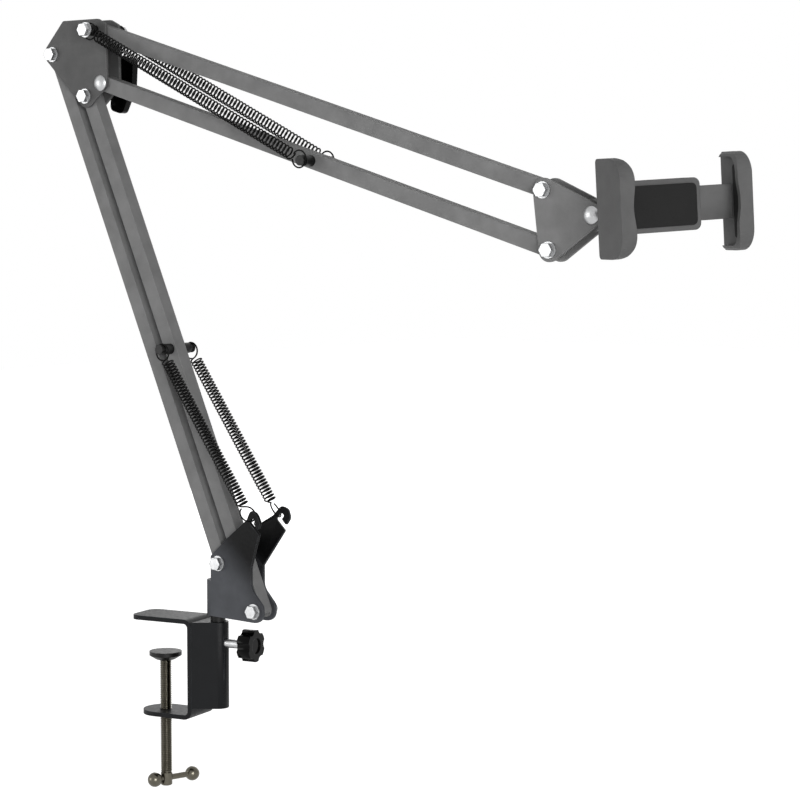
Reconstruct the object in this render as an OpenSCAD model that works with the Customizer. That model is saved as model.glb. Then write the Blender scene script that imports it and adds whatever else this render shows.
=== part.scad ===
// Overhead phone stand: a desk clamp, a spring-balanced arm of two parallelogram
// sections made of square tube, and a sprung phone clip on a ball joint.
// Origin: on the underside of the clamp's top jaw, in the arm's plane. The arm lies
// in the XZ plane, reaches towards +X, and its pivots run along Y. Millimetres.

/* [Desk clamp] */
// Turn of the clamp against the arm's plane, seen from above
clamp_turn = 9; // [-20:0.5:20]
// Distance from the origin to the post's axis
post_x = 38; // [34:0.5:44]
// Thickness of the clamp's plate
clamp_t = 3; // [2:0.25:4]
// Width of the clamp's plate
clamp_w = 29; // [22:0.5:36]
// Reach of the top jaw from the leg's inner face
jaw_reach = 46; // [38:1:60]
// Reach of the bottom jaw from the leg's inner face
lower_jaw_reach = 42; // [38:1:55]
// Clear height between the jaws
desk_gap = 62; // [50:1:80]
// Inner radius of the two bends
bend_r = 3; // [1:0.5:6]
// Corner radius at the top jaw's tip
tip_r = 7; // [3:0.5:12]

/* [Post socket] */
// Distance from the leg's outer face to the post's axis
socket_out = 12.5; // [11:0.5:18]
// Radius of the socket's round nose
nose_r = 7.1; // [6.8:0.1:9]
// Height of the socket
socket_h = 58.5; // [40:0.5:60]
// Height of the socket's top above the top jaw's underside
socket_top = 1.3; // [0:0.1:2.8]
// Diameter of the post
post_d = 10; // [8:0.25:10.5]

/* [Clamp screw] */
// Outer diameter of the screw
screw_d = 8; // [6:0.5:10]
// Distance from the leg's inner face to the screw's axis
screw_out = 26.5; // [24:0.5:30]
// Thickness of the desk that the screw is set for
desk_t = 22.5; // [10:0.5:28]
// Length of the screw
screw_len = 90; // [78:1:100]
// Diameter of the pressure pad
pad_d = 22; // [16:1:26]
// Thickness of the pressure pad
pad_t = 5.5; // [4:0.5:8]
// Diameter of the cross bar
bar_d = 4; // [3:0.25:4.5]
// Distance between the cross bar's ball centres
bar_len = 30; // [26:1:44]
// Diameter of the balls on the cross bar
ball_d = 10; // [8:0.5:12]
// Turn of the cross bar seen from above
bar_turn = 74; // [0:1:180]

/* [Socket knob] */
// Outer diameter of the locking knob
knob_d = 21.5; // [18:0.5:28]
// Thickness of the locking knob's rim
knob_t = 9.4; // [7:0.2:12]
// Number of lobes
knob_lobes = 6; // [4:1:8]
// Diameter of the locking stud
stud_d = 6; // [4:0.5:6]
// Depth of the stud's axis below the socket's top
stud_drop = 14.5; // [12:0.5:24]
// Distance from the post's axis to the knob's back
knob_out = 20.5; // [15:0.5:26]

/* [Tubes and fasteners] */
// Side of the square tubes
tube = 10; // [8:0.5:10]
// Wall of the square tubes
tube_wall = 1.2; // [1:0.1:2]
// Diameter of the pivot bolts
bolt_d = 5; // [4:0.5:5]
// Thickness of the bracket plates
plate_t = 2; // [1.5:0.1:2.5]
// Gap between a tube and the plate beside it
side_gap = 0.3; // [0.2:0.05:0.5]
// Radial clearance of the moving fits
fit = 0.05; // [0.03:0.01:0.1]
// Diameter of the washers
washer_d = 10.4; // [9:0.1:12]
// Thickness of the washers
washer_t = 1; // [0.6:0.1:1.2]
// Width across the flats of the bolt heads and nuts
hex_af = 8; // [7:0.5:9]
// Height of the bolt heads
head_h = 3.4; // [2.5:0.1:4]
// Height of the lock nuts
nut_h = 4.6; // [3.5:0.1:5.5]
// Length of the bolts past their nuts
bolt_past = 0.8; // [0.4:0.1:1.5]

/* [Arm base] */
// Distance from the post's axis to the front lower pivot
base_run = 37.5; // [34:0.5:46]
// Height of the front lower pivot above the top jaw's underside
base_rise = 12.3; // [11.5:0.1:16]
// Distance between the two lower pivots
base_crank = 42.5; // [40:0.5:46]
// Angle of the line from the rear to the front lower pivot
base_crank_angle = -44; // [-48:0.5:-40]
// Edge distance of the front lower pivot
base_edge = 7.5; // [7:0.1:7.6]
// Height of the folded back that wraps the post
fold_h = 24; // [18:0.5:26]
// Outward tilt of the hook ears
ear_tilt = 15.2; // [12:0.2:18]

/* [Lower section] */
// Pivot to pivot length of the lower tubes
lower_len = 372.5; // [300:0.5:420]
// Angle of the lower tubes from the horizontal
lower_angle = 113.4; // [95:0.2:118]
// Distance from the front lower pivot to the lower spring pin
lower_pin_at = 186.2; // [150:0.5:230]

/* [Elbow] */
// Distance between the elbow's two inner pivots
elbow_step = 16.2; // [15.5:0.1:18]
// Angle of the line between the elbow's two inner pivots
elbow_step_angle = 31.4; // [26:0.2:38]
// Distance between the upper section's two pivots
upper_crank = 35.8; // [33:0.2:40]
// Angle of the line from the upper to the lower pivot of the upper section
upper_crank_angle = -83.1; // [-88:0.2:-78]
// Length of the wing knobs
wing_len = 39; // [30:0.5:42]
// Width of the wing knobs across their ends
wing_w = 11.5; // [10:0.5:14]
// Width of the wing knobs across their middle
wing_mid = 20; // [16:0.5:24]
// Thickness of the wing knobs
wing_t = 5; // [4:0.25:7]
// Turn of the elbow's wing knob
wing_turn = 74; // [0:1:180]

/* [Upper section] */
// Pivot to pivot length of the upper tubes
upper_len = 379; // [300:0.5:420]
// Angle of the upper tubes from the horizontal
upper_angle = -17; // [-28:0.2:10]
// Distance from the elbow to the upper spring pin
upper_pin_at = 189.5; // [150:0.5:240]

/* [Springs] */
// Diameter of the spring wire
wire_d = 1.1; // [0.8:0.05:1.3]
// Outer diameter of the springs
spring_d = 8.4; // [7:0.1:9]
// Distance of each spring from the arm's plane
spring_out = 14.4; // [13.6:0.1:16]
// Mean radius of the end rings
ring_r = 5.5; // [4.8:0.05:5.8]
// Turns of each lower spring
lower_turns = 48; // [30:1:50]
// Turns of each upper spring
upper_turns = 62; // [40:1:66]
// Radius of the spring pins' grooves
groove_r = 2.5; // [2.3:0.1:2.8]

/* [Head] */
// Distance from the lower end pivot to the head's pivot
head_step = 35.7; // [33:0.1:40]
// Angle of the line from the lower end pivot to the head's pivot
head_step_angle = 35.3; // [30:0.2:42]
// Edge distance of the end plates round their pivots
end_edge = 7.2; // [6.5:0.1:8.5]
// Radius of the swivel block round its pivot
block_r = 9.5; // [8:0.1:11]
// Distance from the head's pivot to the ball's centre, along X
ball_run = 42.5; // [38:0.5:52]
// Height of the ball's centre over the head's pivot
ball_rise = 5.7; // [0:0.1:8]
// Diameter of the ball
head_ball_d = 14; // [12:0.5:16]
// Diameter of the ball's stem
stem_d = 8; // [6.5:0.5:9]
// Diameter of the stem's neck beside the ball
neck_d = 5.5; // [4.5:0.25:6]
// Outer radius of the ball socket
cup_r = 9.8; // [9.2:0.1:11.5]
// Outer radius of the lock nut
lock_r = 13; // [12:0.25:15]
// Width of the lock nut
lock_w = 8; // [6:0.25:9]

/* [Phone clip] */
// Turn of the clip seen from above
clip_yaw = -31; // [-34:0.5:0]
// Roll of the clip about its facing direction
clip_roll = 3.5; // [-10:0.5:10]
// Width of the gap between the jaws
phone_w = 78.4; // [66:0.2:90]
// Height of the jaws
jaw_h = 57; // [48:0.5:66]
// Depth of the jaws, back to front
jaw_depth = 28.5; // [24:0.5:32]
// Distance from the ball's centre to the jaws' back edge
jaw_back = 2.5; // [1:0.25:4]
// Wall of the jaws
jaw_wall = 3.5; // [2.5:0.1:4.5]
// Mean reach of the jaws' front lips
lip = 5.4; // [4:0.1:7]
// Height of the lips' wave
lip_wave = 0.7; // [0:0.1:1.2]
// Height of the clip's body
body_h = 30; // [26:0.5:36]
// Depth of the clip's body
body_depth = 12; // [11:0.25:14]
// Distance from the clip's centre to the body's open end
body_right = 16.5; // [12:0.5:18]
// Thickness of the soft pads
pad_soft = 1.5; // [1:0.1:2.5]
// Width of the moving jaw's tongue
tongue_h = 20; // [14:0.5:22]
// Thickness of the moving jaw's tongue
tongue_t = 3; // [2.5:0.1:4]

/* [Hidden] */
$fn = 64;
e = 0.01;

// Colours
black = [0.09, 0.09, 0.1];
dark = [0.3, 0.3, 0.31];
grey = [0.42, 0.42, 0.43];
zinc = [0.8, 0.8, 0.8];
nickel = [0.5, 0.48, 0.44];
soft = [0.16, 0.16, 0.17];

// A point at a length and an angle from another point
function polar(r, a) = r * [cos(a), sin(a)];

// Pivots of the arm, as [x, z]
R2 = [post_x + base_run, base_rise];
R1 = R2 - polar(base_crank, base_crank_angle);
P4 = R2 + polar(lower_len, lower_angle);
P2 = P4 - polar(base_crank, base_crank_angle);
P3 = P4 + polar(elbow_step, elbow_step_angle);
P1 = P3 - polar(upper_crank, upper_crank_angle);
Q2 = P3 + polar(upper_len, upper_angle);
Q1 = Q2 - polar(upper_crank, upper_crank_angle);
Q3 = Q2 + polar(head_step, head_step_angle);
lower_pin = R2 + polar(lower_pin_at, lower_angle);
upper_pin = P3 + polar(upper_pin_at, upper_angle);
ball = Q3 + [ball_run, ball_rise];

// Plates stand on both sides of the tubes
plate_in = tube / 2 + side_gap;
plate_out = plate_in + plate_t;
bolt_r = bolt_d / 2;
hole_r = bolt_r + fit;

// Lies a solid that was drawn on XZ, with its thickness along +Y from y0
module in_plane(y0, t) {
    translate([0, y0 + t, 0]) rotate([90, 0, 0]) linear_extrude(t) children();
}

// A round bar along Y between two levels
module bar_y(p, r, y0, y1, fn = 48) {
    translate([p[0], y1, p[1]]) rotate([90, 0, 0]) cylinder(r = r, h = y1 - y0, $fn = fn);
}

// The sharp corner is cut back and replaced by an arc that touches both edges
function corner_arc(a, b, c, r, n) =
    let (u = (a - b) / norm(a - b), v = (c - b) / norm(c - b),
         half = acos(u * v) / 2, m = (u + v) / norm(u + v),
         o = b + m * r / sin(half), back = r / tan(half),
         s = b + u * back - o, t = b + v * back - o,
         a0 = atan2(s[1], s[0]), turn = atan2(s[0] * t[1] - s[1] * t[0], s * t))
    [for (i = [0 : n]) o + polar(r, a0 + turn * i / n)];

// A polygon given as [[point, radius], ...], with every corner rounded to its radius
function rounded(list, n = 7) =
    let (k = len(list))
    [for (i = [0 : k - 1])
        each (list[i][1] > 0
            ? corner_arc(list[(i + k - 1) % k][0], list[i][0], list[(i + 1) % k][0], list[i][1], n)
            : [list[i][0]])];

// The outline at a fixed distance round a convex chain of points, drawn anticlockwise
function belt(points, r, n = 10) =
    let (k = len(points))
    [for (i = [0 : k - 1])
        let (a = points[(i + k - 1) % k], b = points[i], c = points[(i + 1) % k],
             a0 = atan2(b[1] - a[1], b[0] - a[0]) - 90,
             a1 = atan2(c[1] - b[1], c[0] - b[0]) - 90,
             turn = (a1 - a0 + 720) % 360)
        for (j = [0 : n]) b + polar(r, a0 + turn * j / n)];

// A hexagon across the flats
module hex(af, h) {
    cylinder(d = af / cos(30), h = h, $fn = 6);
}

// Hexagon bolt along Y: the head on the -Y side, outside a washer
module pivot_bolt(p, head_y, end_y) {
    bar_y(p, bolt_r, head_y, end_y);
    translate([p[0], head_y, p[1]]) rotate([90, 0, 0]) hex(hex_af, head_h);
}

module washer_y(p, y0) {
    difference() {
        bar_y(p, washer_d / 2, y0, y0 + washer_t);
        bar_y(p, hole_r, y0 - 1, y0 + washer_t + 1);
    }
}

// Lock nut: a hexagon with a low round collar
module nut_y(p, y0) {
    difference() {
        union() {
            translate([p[0], y0 + 0.75 * nut_h, p[1]]) rotate([90, 0, 0]) hex(hex_af, 0.75 * nut_h);
            bar_y(p, 0.45 * hex_af, y0 + 0.5 * nut_h, y0 + nut_h);
        }
        bar_y(p, bolt_r, y0 - 1, y0 + nut_h + 1);
    }
}

// Places its children in the clamp's frame: X outwards from the leg, Z up, on the post's axis
module at_clamp() {
    translate([post_x, 0, 0]) rotate([0, 0, clamp_turn]) children();
}

leg_out = -socket_out;
leg_in = leg_out - clamp_t;
lower_top = -desk_gap;
lower_under = lower_top - clamp_t;
screw_x = leg_in - screw_out;
screw_r = screw_d / 2;
pad_top = -desk_t;
screw_nose = 0.55 * pad_t;
screw_tip = pad_top - pad_t + screw_nose - fit;
screw_end = screw_tip - screw_len;
bar_z = screw_end + 4.8;

// One bent plate: top jaw, leg and bottom jaw
module clamp_frame() {
    outer_r = bend_r + clamp_t;
    color(black) at_clamp() difference() {
        rotate([90, 0, 0]) linear_extrude(clamp_w, center = true) clamp_profile(outer_r);
        jaw_tip_cut(leg_in - jaw_reach, tip_r, -e, clamp_t + e);
        jaw_tip_cut(leg_in - lower_jaw_reach, clamp_w / 2 - e, lower_under - e, lower_top + e);
        translate([screw_x, 0, lower_under - 1]) cylinder(r = screw_r + fit, h = clamp_t + 2);
    }
}

// Section of the bent plate, with both bends as true arcs
module clamp_profile(outer_r) {
    polygon(concat(
        [[leg_in - jaw_reach, 0], [leg_in - jaw_reach, clamp_t]],
        corner_arc([leg_in, clamp_t], [leg_out, clamp_t], [leg_out, 0], outer_r, 10),
        corner_arc([leg_out, 0], [leg_out, lower_under], [leg_in, lower_under], outer_r, 10),
        [[leg_in - lower_jaw_reach, lower_under], [leg_in - lower_jaw_reach, lower_top]],
        corner_arc([leg_in - 1, lower_top], [leg_in, lower_top], [leg_in, 0], bend_r, 8),
        corner_arc([leg_in, lower_top], [leg_in, 0], [leg_in - 1, 0], bend_r, 8)));
}

// Rounds both corners of a jaw's tip
module jaw_tip_cut(tip_x, r, z0, z1) {
    for (s = [-1, 1]) scale([1, s, 1]) translate([0, 0, z0]) linear_extrude(z1 - z0) difference() {
        translate([tip_x - 1, clamp_w / 2 - r]) square([r + 1, r + 1]);
        translate([tip_x + r, clamp_w / 2 - r]) circle(r);
    }
}

// Socket: flat sides run from the leg's edges to a round nose round the post
module post_socket() {
    reach = norm([socket_out, clamp_w / 2]);
    touch = atan2(clamp_w / 2, -socket_out) - acos(nose_r / reach);
    t = polar(nose_r, touch);
    color(black) at_clamp() difference() {
        translate([0, 0, socket_top - socket_h]) linear_extrude(socket_h) union() {
            polygon([[leg_out, -clamp_w / 2], [t[0], -t[1]], t, [leg_out, clamp_w / 2]]);
            circle(nose_r, $fn = 96);
        }
        translate([0, 0, socket_top - socket_h - 1]) cylinder(d = post_d + 2 * fit, h = socket_h + 2);
        translate([0, 0, socket_top - stud_drop]) rotate([0, 90, 0]) cylinder(d = stud_d + 2 * fit, h = 20);
        socket_relief();
    }
}

// The top jaw's bend is rounded, so the socket's foot and head follow the leg's flat
module socket_relief() {
    corner = bend_r + clamp_t;
    translate([leg_out - 1, -clamp_w, lower_under + corner]) mirror([0, 0, 1]) cube([1, 2 * clamp_w, 40]);
}

// Threaded spindle with a cross hole near its foot and a ball nose under the pad
module clamp_screw() {
    color(nickel) at_clamp() translate([screw_x, 0, 0]) difference() {
        union() {
            translate([0, 0, screw_end]) cylinder(r = screw_r, h = screw_len - screw_nose);
            translate([0, 0, screw_tip - screw_nose - e]) cylinder(r = screw_r - 1, h = screw_nose + e);
        }
        rotate([0, 0, bar_turn - clamp_turn]) translate([0, 0, bar_z]) rotate([0, 90, 0])
            cylinder(d = bar_d + 2 * fit, h = 3 * screw_d, center = true);
    }
}

// Sliding cross bar with a ball on each end
bar_slid = bar_len / 2 - screw_r - ball_d / 2 - 0.3;
module tommy_bar() {
    color(nickel) at_clamp() translate([screw_x, 0, bar_z]) rotate([0, 0, bar_turn - clamp_turn])
        translate([bar_slid, 0, 0]) {
            rotate([0, 90, 0]) cylinder(d = bar_d, h = bar_len, center = true);
            for (s = [-1, 1]) translate([s * bar_len / 2, 0, 0]) sphere(d = ball_d);
        }
}

// Round pad that turns on the screw's nose
module pressure_pad() {
    color(dark) at_clamp() translate([screw_x, 0, pad_top - pad_t]) difference() {
        union() {
            translate([0, 0, pad_t / 2]) cylinder(d = pad_d, h = pad_t / 2);
            cylinder(d1 = 0.6 * pad_d, d2 = pad_d, h = pad_t / 2);
        }
        translate([0, 0, -1]) cylinder(r = screw_r - 1 + fit, h = 1 + screw_nose);
    }
}

// Lobed locking knob: round flutes cut into a disc, with a hub behind
module socket_knob() {
    color(black) at_knob() difference() {
        union() {
            cylinder(d = knob_d, h = knob_t, $fn = 96);
            translate([0, 0, -2]) cylinder(d = 0.55 * knob_d, h = 2 + e);
        }
        for (i = [0 : knob_lobes - 1]) rotate([0, 0, (i + 0.5) * 360 / knob_lobes])
            translate([0.6 * knob_d, 0, -3]) cylinder(d = 0.36 * knob_d, h = knob_t + 4);
        translate([0, 0, knob_t - 1]) cylinder(d = 0.5 * knob_d, h = 2);
        translate([0, 0, -3]) cylinder(d = stud_d, h = 3 + 0.6 * knob_t);
    }
}

// Axis of the locking stud, pointing away from the post, from the knob's back
module at_knob() {
    at_clamp() translate([knob_out, 0, socket_top - stud_drop]) rotate([0, 90, 0]) children();
}

module knob_stud() {
    tip = post_d / 2 + fit;
    color(zinc) at_knob() translate([0, 0, tip - knob_out]) cylinder(d = stud_d, h = knob_out - tip + 0.6 * knob_t - e);
}

// Arm base, in the arm's plane
fold_z = R2[1] - base_edge + 0.9;

// Front face of the base, without its ear, from the post to the front pivot
function base_outline() = rounded([
    [[post_x, fold_z], 0],
    [[R2[0] - 2, R2[1] - base_edge], 3],
    [R2 + [8.2, -base_edge], 7],
    [R2 + [7.2, 4], 4],
    [R2 + [-2.6, 14.5], 9],
    [ear_foot, 0],
    [ear_head, 0],
    [[post_x, R1[1] + 4.3], 2]]);

// The ear is bent outwards along the line from its foot to its head
ear_foot = R2 + [-2.6, 28.9];
ear_head = R2 + [-23, 47];
ear_line = ear_head - ear_foot;
ear_turn = atan2(ear_line[1], ear_line[0]);
ear_width = norm(ear_line);

// Outline of an ear from its bend line: along the line, and away from it
slot_end = 17.1;
ear_points = rounded([
    [[0, -e], 0], [[6.2, 27.2], 1], [[16.8, 27.5], 1.2], [[slot_end, 33.2], 1.4], [[13.8, 33.2], 1],
    [[13.4, 30.3], 0.8], [[8.2, 29.9], 0.8], [[9.4, 35.4], 4], [[15.2, 38.4], 4], [[slot_end + 3.4, 36.2], 3],
    [[slot_end + 2.7, 27.3], 3], [[ear_width, -e], 0]], 5);
ring_seat = [slot_end - wire_d / 2 - 0.45, 30.9];
hook_roll = -18;

// A point of the front ear's middle plane, from along and away
function ear_point(p) =
    let (u = ear_line / ear_width, v = [u[1], -u[0]], away = p[1] * cos(ear_tilt),
         q = ear_foot + u * p[0] + v * away)
    [q[0], -(plate_in + plate_t / 2) - p[1] * sin(ear_tilt), q[1]];

// One side of the base: a flat plate and its bent ear, on the -Y side
module base_side() {
    in_plane(-plate_out, plate_t) polygon(base_outline());
    translate([ear_foot[0], -(plate_in + plate_t / 2), ear_foot[1]]) rotate([0, -ear_turn, 0]) {
        rotate([0, 90, 0]) cylinder(d = plate_t, h = ear_width, $fn = 32);
        rotate([-90 - ear_tilt, 0, 0]) translate([0, 0, -plate_t / 2]) linear_extrude(plate_t) polygon(ear_points);
    }
}

// Folded sheet: two sides joined by a round back that wraps the post
module base_bracket() {
    color(dark) difference() {
        union() {
            base_side();
            mirror([0, 1, 0]) base_side();
            translate([post_x, 0, fold_z]) linear_extrude(fold_h) difference() {
                circle(plate_out, $fn = 96);
                circle(plate_in, $fn = 96);
                translate([0, -plate_out - 1]) square(2 * plate_out + 2);
            }
        }
        for (p = [R1, R2]) bar_y(p, hole_r, -plate_out - 1, plate_out + 1);
    }
}

// The post turns in the socket and ends inside the fold
module base_post() {
    foot = socket_top - 0.85 * socket_h;
    color(black) translate([post_x, 0, foot]) cylinder(d = post_d, h = fold_z + fold_h - 1 - foot);
}

module bolts_at(points) {
    color(zinc) for (p = points)
        pivot_bolt(p, -plate_out - washer_t, plate_out + washer_t + nut_h + bolt_past);
}

module washers_at(points) {
    color(zinc) for (p = points) {
        washer_y(p, -plate_out - washer_t);
        washer_y(p, plate_out);
    }
}

module nuts_at(points) {
    color(zinc) for (p = points) nut_y(p, plate_out + washer_t);
}

module base_bolts() {
    bolts_at([R1, R2]);
}

module base_washers() {
    washers_at([R1, R2]);
}

module base_nuts() {
    nuts_at([R1, R2]);
}

// Square tube between two pivots, its ends rounded about them, with a cross hole at each
// and, where wanted, one for a pin
module link(a, b, pin_at = 0) {
    d = b - a;
    length = norm(d);
    color(grey) translate([a[0], 0, a[1]]) rotate([0, -atan2(d[1], d[0]), 0]) difference() {
        in_plane(-tube / 2, tube) union() {
            translate([0, -tube / 2]) square([length, tube]);
            for (x = [0, length]) translate([x, 0]) circle(tube / 2);
        }
        translate([-tube, -tube / 2 + tube_wall, -tube / 2 + tube_wall])
            cube([length + 2 * tube, tube - 2 * tube_wall, tube - 2 * tube_wall]);
        for (x = [0, length]) bar_y([x, 0], hole_r, -tube, tube);
        if (pin_at > 0) bar_y([pin_at, 0], groove_r, -tube, tube);
    }
}

module lower_link_rear() {
    link(R1, P2);
}

module lower_link_front() {
    link(R2, P4, lower_pin_at);
}

module upper_link_top() {
    link(P1, Q1);
}

module upper_link_bottom() {
    link(P3, Q2, upper_pin_at);
}

// Turned cross pin: a collar on each side of the tube, a groove for the spring, an end flange
module spring_pin(p) {
    groove = 0.8 + wire_d / 2;
    color(dark) {
        bar_y(p, groove_r, -spring_out - groove, spring_out + groove);
        for (s = [-1, 1]) scale([1, s, 1]) {
            bar_y(p, groove_r + 1.1, tube / 2, spring_out - groove);
            bar_y(p, groove_r + 0.8, spring_out + groove - e, spring_out + groove + 1);
        }
    }
}

module lower_spring_pin() {
    spring_pin(lower_pin);
}

module upper_spring_pin() {
    spring_pin(upper_pin);
}

// Springs: a coil along X between two open rings whose centres lie on its axis
wire_r = wire_d / 2;
coil_r = spring_d / 2 - wire_r;
steps = 7;
ring_steps = 14;
ring_open = 27;
ring_sweep = 318;

// A ring about [x, 0, 0] with its opening towards +X (side 1) or -X (side -1), turned by roll
function ring_path(x, side, roll) =
    [for (i = [0 : ring_steps])
        let (a = ring_open + ring_sweep * i / ring_steps, y = side * ring_r * sin(a))
        [x + side * ring_r * cos(a), y * cos(roll), y * sin(roll)]];

function reversed(list) = [for (i = [len(list) - 1 : -1 : 0]) list[i]];

function coil_path(x0, x1, turns) =
    [for (i = [0 : turns * steps])
        let (a = 360 * i / steps, x = x0 + (x1 - x0) * i / (turns * steps))
        [x, coil_r * cos(a), coil_r * sin(a)]];

// First ring about the origin, coil, last ring about [length, 0, 0]
function spring_path(length, turns, roll0, roll1) =
    let (clear = ring_r + 1.6)
    concat(ring_path(0, 1, roll0), coil_path(clear, length - clear, turns), reversed(ring_path(length, -1, roll1)));

// Sweeps a four-sided wire along a path
module wire_along(path) {
    n = len(path);
    sides = 4;
    rings = [for (i = [0 : n - 1])
        let (d = path[min(i + 1, n - 1)] - path[max(i - 1, 0)], t = d / norm(d),
             ref = abs(t[0]) < 0.9 ? [1, 0, 0] : [0, 0, 1],
             u0 = cross(t, ref), u = u0 / norm(u0), v = cross(t, u))
        [for (k = [0 : sides - 1]) path[i] + wire_r * (u * cos(90 * k + 45) + v * sin(90 * k + 45))]];
    points = [for (r = rings) each r];
    faces = concat(
        [[for (k = [0 : sides - 1]) k]],
        [for (i = [0 : n - 2]) for (k = [0 : sides - 1])
            let (a = i * sides + k, b = i * sides + (k + 1) % sides)
            each [[a, a + sides, b], [b, a + sides, b + sides]]],
        [[for (k = [sides - 1 : -1 : 0]) (n - 1) * sides + k]]);
    polyhedron(points, faces, convexity = 10);
}

// A spring between two points in space, with the roll of each end ring
module spring_between(a, b, turns, roll0, roll1) {
    d = b - a;
    flat = norm([d[0], d[1]]);
    color(black) translate(a) rotate([0, 0, atan2(d[1], d[0])]) rotate([0, -atan2(d[2], flat), 0])
        wire_along(spring_path(norm(d), turns, roll0, roll1));
}

// Where an end ring's centre lies: the ring hangs on a round seat, on the other end's side
function ring_on(p, other, seat_r) =
    let (d = (other - p) / norm(other - p), q = p + d * (ring_r - wire_r - seat_r - 0.05))
    [q[0], 0, q[1]];

function at_side(q, side) = [q[0], side * spring_out, q[2]];

// The ring in an ear is centred on its slot's end, one ring radius along the ear
hook_ring = ear_point(ring_seat + [ring_r, 0]);

module lower_spring(side) {
    hook = [hook_ring[0], side * spring_out, hook_ring[2]];
    pin = at_side(ring_on(lower_pin, [hook_ring[0], hook_ring[2]], groove_r), side);
    spring_between(hook, pin, lower_turns, side < 0 ? hook_roll : 180 - hook_roll, 90);
}

module upper_spring(side) {
    a = at_side(ring_on(P1, upper_pin, bolt_r), side);
    b = at_side(ring_on(upper_pin, P1, groove_r), side);
    spring_between(a, b, upper_turns, 90, 90);
}

module lower_spring_front() {
    lower_spring(-1);
}

module lower_spring_back() {
    lower_spring(1);
}

module upper_spring_front() {
    upper_spring(-1);
}

module upper_spring_back() {
    upper_spring(1);
}

// Elbow plate, drawn round its four pivots
elbow_outline = rounded([
    [P1 + [-30, 8], 2], [P2 + [-10.5, 0.4], 7], [P4 + [0.5, -10.2], 7], [P3 + [6.2, -1.9], 3],
    [P1 + [9.9, 4.4], 2], [P1 + [2.5, 8], 3]]);

module elbow_plate(y0) {
    color(grey) difference() {
        in_plane(y0, plate_t) polygon(elbow_outline);
        for (p = [P1, P2, P3, P4]) bar_y(p, hole_r, y0 - 1, y0 + plate_t + 1);
    }
}

module elbow_plate_front() {
    elbow_plate(-plate_out);
}

module elbow_plate_back() {
    elbow_plate(plate_in);
}

// Long bolt through the top pivot: it carries both upper springs outside the plates
sleeve_end = spring_out - 1.5;
seat_end = spring_out + 1.5;
module spring_bolt() {
    color(zinc) pivot_bolt(P1, -seat_end - washer_t, seat_end + washer_t + nut_h + bolt_past);
}

module spring_bolt_sleeves() {
    color(dark) for (s = [-1, 1]) scale([1, s, 1]) difference() {
        bar_y(P1, bolt_r + 1.2, plate_out, sleeve_end);
        bar_y(P1, hole_r, plate_out - 1, sleeve_end + 1);
    }
}

module spring_bolt_nut() {
    color(zinc) {
        washer_y(P1, -seat_end - washer_t);
        washer_y(P1, seat_end);
        nut_y(P1, seat_end + washer_t);
    }
}

module elbow_bolts() {
    bolts_at([P2, P4]);
}

module elbow_washers() {
    washers_at([P2, P4]);
}

module elbow_nuts() {
    nuts_at([P2, P4]);
}

// Round-headed bolt whose thread takes a wing knob behind the plates
dome_r = 5.6;
dome_h = 2.6;
knob_y = plate_out + washer_t;
module lock_bolt(p) {
    color(zinc) {
        bar_y(p, bolt_r, -plate_out, knob_y + bolt_in_knob);
        translate([p[0], -plate_out, p[1]]) rotate([90, 0, 0]) intersection() {
            cylinder(r = dome_r, h = dome_h);
            translate([0, 0, dome_h - dome_ball]) sphere(dome_ball, $fn = 96);
        }
        washer_y(p, plate_out);
    }
}
dome_ball = (dome_r * dome_r + dome_h * dome_h) / (2 * dome_h);

// Moulded wing knob: a boss lifts its wings over the nuts beside it
boss_h = nut_h + bolt_past + 0.4;
bolt_in_knob = boss_h + 0.6 * wing_t;
module wing_knob(p, turn) {
    half = wing_len / 2;
    w = wing_w / 2;
    outline = rounded([
        [[half, w], 4], [[0, wing_mid / 2], 16], [[-half, w], 4],
        [[-half, -w], 4], [[0, -wing_mid / 2], 16], [[half, -w], 4]]);
    color(black) difference() {
        translate([p[0], knob_y + fit + boss_h + wing_t, p[1]]) rotate([90, 0, 0]) {
            rotate([0, 0, turn]) linear_extrude(wing_t) polygon(outline);
            cylinder(r = bolt_r + 3, h = boss_h + wing_t);
        }
        bar_y(p, hole_r, knob_y - 1, knob_y + bolt_in_knob + fit);
    }
}

module elbow_lock_bolt() {
    lock_bolt(P3);
}

module elbow_knob() {
    wing_knob(P3, wing_turn);
}

// End plates: one outline at a fixed distance round their three pivots
module end_plate(y0) {
    color(grey) difference() {
        in_plane(y0, plate_t) polygon(belt([Q1, Q2, Q3], end_edge));
        for (p = [Q1, Q2, Q3]) bar_y(p, hole_r, y0 - 1, y0 + plate_t + 1);
    }
}

module end_plate_front() {
    end_plate(-plate_out);
}

module end_plate_back() {
    end_plate(plate_in);
}

module end_bolts() {
    bolts_at([Q1, Q2]);
}

module end_washers() {
    washers_at([Q1, Q2]);
}

module end_nuts() {
    nuts_at([Q1, Q2]);
}

module head_lock_bolt() {
    lock_bolt(Q3);
}

module head_knob() {
    wing_knob(Q3, 90);
}

// The stem runs from the head's pivot to the ball
stem_line = ball - Q3;
stem_len = norm(stem_line);
stem_angle = atan2(stem_line[1], stem_line[0]);
block_front = block_r + 5;

module at_stem() {
    translate([Q3[0], 0, Q3[1]]) rotate([0, -stem_angle, 0]) children();
}

// Block between the end plates, round at its pivot, with a squared nose for the stem
module swivel_block() {
    nose = stem_d / 2 + 1.2;
    color(dark) difference() {
        in_plane(-tube / 2, tube) translate(Q3) rotate(stem_angle) union() {
            circle(block_r, $fn = 96);
            translate([0, -nose]) square([block_front, 2 * nose]);
        }
        bar_y(Q3, hole_r, -tube, tube);
        at_stem() translate([block_r - 2, 0, 0]) rotate([0, 90, 0]) cylinder(d = neck_d, h = 20);
    }
}

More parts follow.
